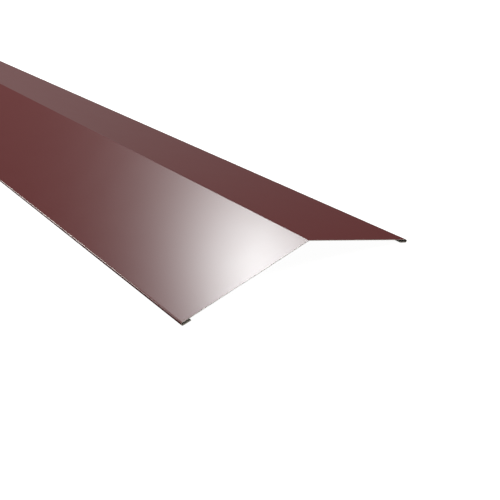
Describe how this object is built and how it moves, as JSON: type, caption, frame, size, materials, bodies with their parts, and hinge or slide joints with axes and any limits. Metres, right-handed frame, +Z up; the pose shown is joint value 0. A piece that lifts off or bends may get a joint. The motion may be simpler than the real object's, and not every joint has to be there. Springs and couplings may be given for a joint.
{
  "type": "roof ridge cap",
  "caption": "Long folded sheet-metal ridge cap for a low-pitched roof: flat wings either side of one ridge bend, outer edges turned under into open hems.",
  "frame": {"origin": "centre of the footprint, level with the lowest line of the two hem folds that the cap stands on", "axes": "+X along the ridge, +Y across the roof, +Z up from the hems to the ridge"},
  "size_m": [2, 0.2794, 0.0405],
  "materials": {
    "painted_steel": "satin"
  },
  "bodies": {
    "root": {"ridge_cap": "painted_steel"}
  },
  "joints": []
}
